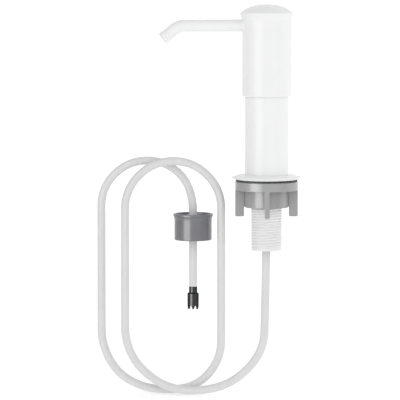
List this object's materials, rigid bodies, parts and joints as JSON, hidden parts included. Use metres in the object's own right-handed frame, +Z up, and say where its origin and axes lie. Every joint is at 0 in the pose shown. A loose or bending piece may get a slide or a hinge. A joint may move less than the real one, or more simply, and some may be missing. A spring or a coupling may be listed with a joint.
{
  "type": "deck mounted soap pump dispenser",
  "caption": "Built-in soap pump: white head with a downturned spout on a sleeve and flange, a threaded shank with a winged nut, and a coiled suction tube with a bottle cap and foot valve",
  "frame": {"origin": "on the pump's axis, in the plane of the flange rim's underside, which is the top of the deck", "axes": "+Z up along the pump; the spout points to -X, turned 8 degrees to -Y; the coiled tube lies on the -X side below and just above the deck plane"},
  "size_m": [0.1679, 0.0632, 0.3221],
  "materials": {
    "white_paint": "gloss",
    "white_plastic": "satin",
    "foam_seal": "matt",
    "black_rubber": "matt",
    "slip_plastic": "satin",
    "grey_plastic": "satin",
    "cap_plastic": "semi-gloss",
    "tube_plastic": "milky, satin",
    "natural_plastic": "satin",
    "liner_foam": "matt",
    "dark_chrome": "polished",
    "spring_steel": "bright",
    "ball_steel": "polished"
  },
  "bodies": {
    "base": {"threaded_shank": "white_plastic", "base_sleeve": "white_paint", "flange": "white_paint", "flange_seal": "foam_seal", "pump_cylinder": "natural_plastic", "ball_cage": "natural_plastic", "return_spring": "spring_steel", "guide_bush": "natural_plastic", "collar_gasket": "black_rubber", "pump_collar": "white_plastic", "dip_tube": "natural_plastic", "tube_connector": "natural_plastic", "supply_tube": "tube_plastic", "valve_body": "dark_chrome", "valve_seat": "dark_chrome"},
    "plunger": {"pump_stem": "white_plastic", "piston": "natural_plastic"},
    "head": {"pump_head": "white_paint", "head_insert": "natural_plastic", "spout_tube": "white_paint", "spout_liner": "natural_plastic", "nozzle_insert": "white_plastic"},
    "outlet_check": {"outlet_ball": "ball_steel"},
    "inlet_check": {"inlet_ball": "ball_steel"},
    "nut_slip": {"nut_washer": "slip_plastic", "deck_gasket": "black_rubber"},
    "nut": {"mounting_nut": "grey_plastic"},
    "cap": {"bottle_cap": "cap_plastic", "cap_liner": "liner_foam"},
    "foot_check": {"valve_ball": "ball_steel"}
  },
  "joints": [
    {"name": "press", "type": "slide", "parent": "base", "child": "plunger", "axis": [0, 0, 1], "range_m": [-0.018, 0], "stiffness_N_per_m": 300, "springref_m": 0.02, "deforming": ["return_spring"]},
    {"name": "head_swivel", "type": "hinge", "parent": "plunger", "child": "head", "pos_m": [0, 0, 0.1], "axis": [0, 0, 1], "continuous": true},
    {"name": "outlet_lift", "type": "slide", "parent": "plunger", "child": "outlet_check", "axis": [0, 0, 1], "range_m": [0, 0.001]},
    {"name": "inlet_lift", "type": "slide", "parent": "base", "child": "inlet_check", "axis": [0, 0, 1], "range_m": [0, 0.0012]},
    {"name": "nut_travel", "type": "slide", "parent": "base", "child": "nut_slip", "axis": [0, 0, 1], "range_m": [-0.0309, 0]},
    {"name": "nut_turn", "type": "hinge", "parent": "nut_slip", "child": "nut", "pos_m": [0, 0, -0.014], "axis": [0, 0, 1], "range_deg": [-5040, 0]},
    {"name": "cap_slide", "type": "slide", "parent": "base", "child": "cap", "axis": [0, 0, 1], "range_m": [-0.036, 0.004]},
    {"name": "foot_lift", "type": "slide", "parent": "base", "child": "foot_check", "axis": [0, 0, 1], "range_m": [0, 0.001]}
  ],
  "couplings": [
    {"joint": "nut_travel", "follows": "nut_turn", "m_per_rad": 0.00035014}
  ]
}
